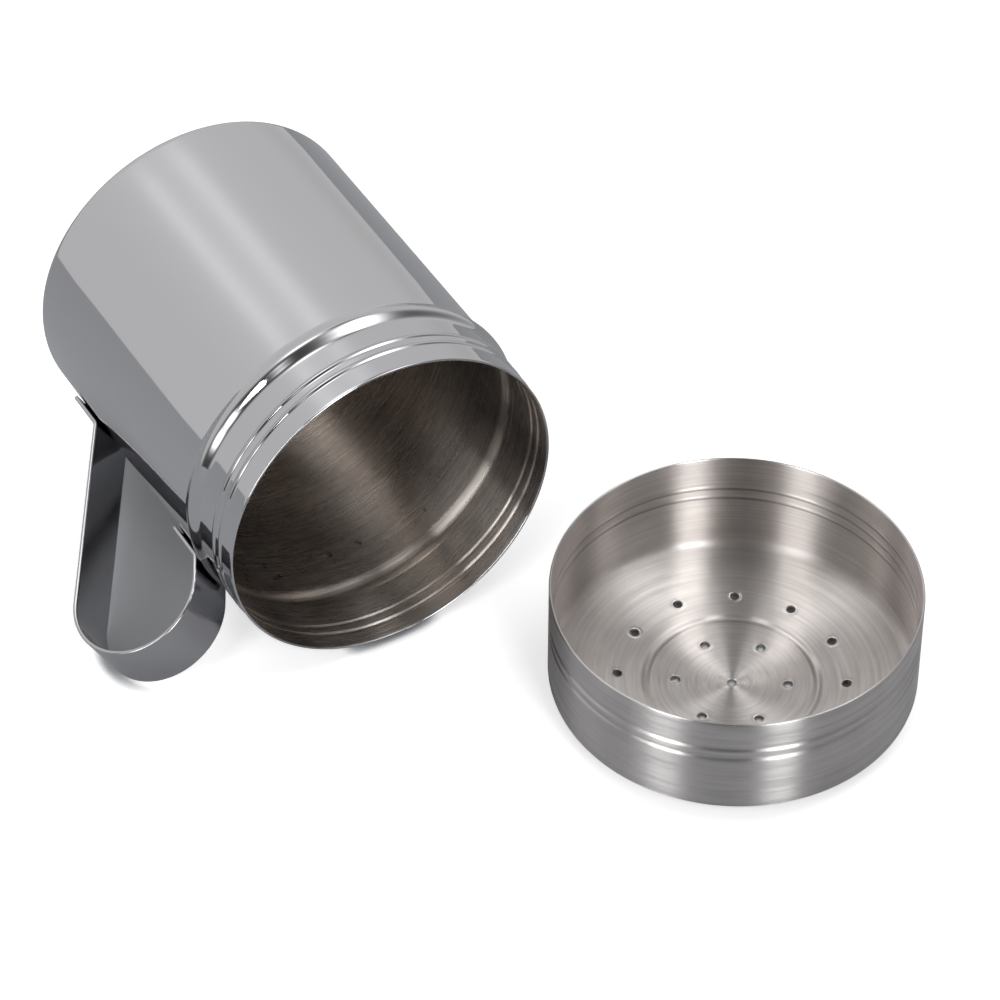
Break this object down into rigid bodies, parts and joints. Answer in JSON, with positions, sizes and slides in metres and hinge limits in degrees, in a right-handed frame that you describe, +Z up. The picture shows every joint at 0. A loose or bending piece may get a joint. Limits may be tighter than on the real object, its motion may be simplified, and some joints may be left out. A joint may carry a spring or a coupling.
{
  "type": "spice shaker",
  "caption": "Drawn steel shaker can with a bent strap handle, lying on its side, and its domed perforated screw lid beside it, open side up.",
  "frame": {"origin": "middle of the arrangement's bounding box, on the floor it lies on", "axes": "+Z up; +Y from the can's mouth towards its base; +X towards the lid"},
  "size_m": [0.1446, 0.1636, 0.0717],
  "materials": {
    "can_steel": "mirror-polished stainless sheet outside, satin and brushed round the axis inside",
    "handle_steel": "bright-rolled stainless strip with burnished edges",
    "lid_steel": "satin stainless sheet, brushed in rings inside and out"
  },
  "bodies": {
    "can": {"can_body": "can_steel", "handle": "handle_steel"},
    "lid": {"perforated_lid": "lid_steel"}
  },
  "joints": [
    {"name": "lid_lift", "type": "slide", "parent": "can", "child": "lid", "axis": [0, 0, 1], "range_m": [0, 0.12]}
  ]
}
